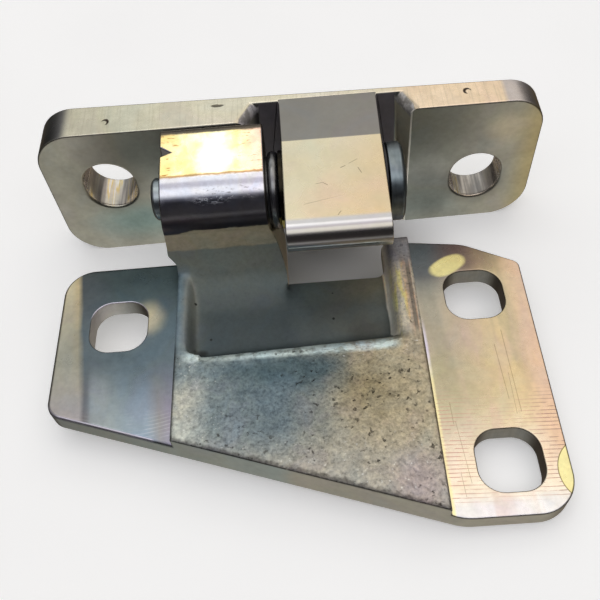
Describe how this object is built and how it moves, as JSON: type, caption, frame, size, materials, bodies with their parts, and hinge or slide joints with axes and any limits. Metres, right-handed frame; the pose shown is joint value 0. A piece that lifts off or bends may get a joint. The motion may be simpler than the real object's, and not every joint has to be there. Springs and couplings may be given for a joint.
{
  "type": "truck door hinge",
  "caption": "Bolt-on truck door hinge: cast pillar leaf with barrel and rounded-square bolt holes, forged door leaf with arm and oblong holes, joined by a headed pin.",
  "frame": {"origin": "on the pillar leaf's flat mounting face, at the middle of that leaf", "axes": "+X along the pin towards its head, +Y from the pillar leaf to the door leaf, +Z out of the pillar leaf's mounting face towards the pin"},
  "size_m": [0.1345, 0.1072, 0.0479],
  "materials": {
    "pillar_plating": "yellow-passivated zinc on cast steel, machined wings and a rough cast centre",
    "door_plating": "yellow-passivated zinc on forged steel, satin",
    "pin_steel": "dark plated steel",
    "bush_brass": "turned brass",
    "bush_dark": "bronze with a dark sliding layer",
    "ring_rubber": "glossy black rubber"
  },
  "bodies": {
    "pillar": {"pillar_leaf": "pillar_plating", "hinge_pin": "pin_steel", "seal_ring": "ring_rubber"},
    "door": {"door_leaf": "door_plating", "inner_bush": "bush_brass", "outer_bush": "bush_dark"}
  },
  "joints": [
    {"name": "door_swing", "type": "hinge", "parent": "pillar", "child": "door", "pos_m": [0, 0.044, 0.025], "axis": [1, 0, 0], "range_deg": [-42, 4]}
  ]
}
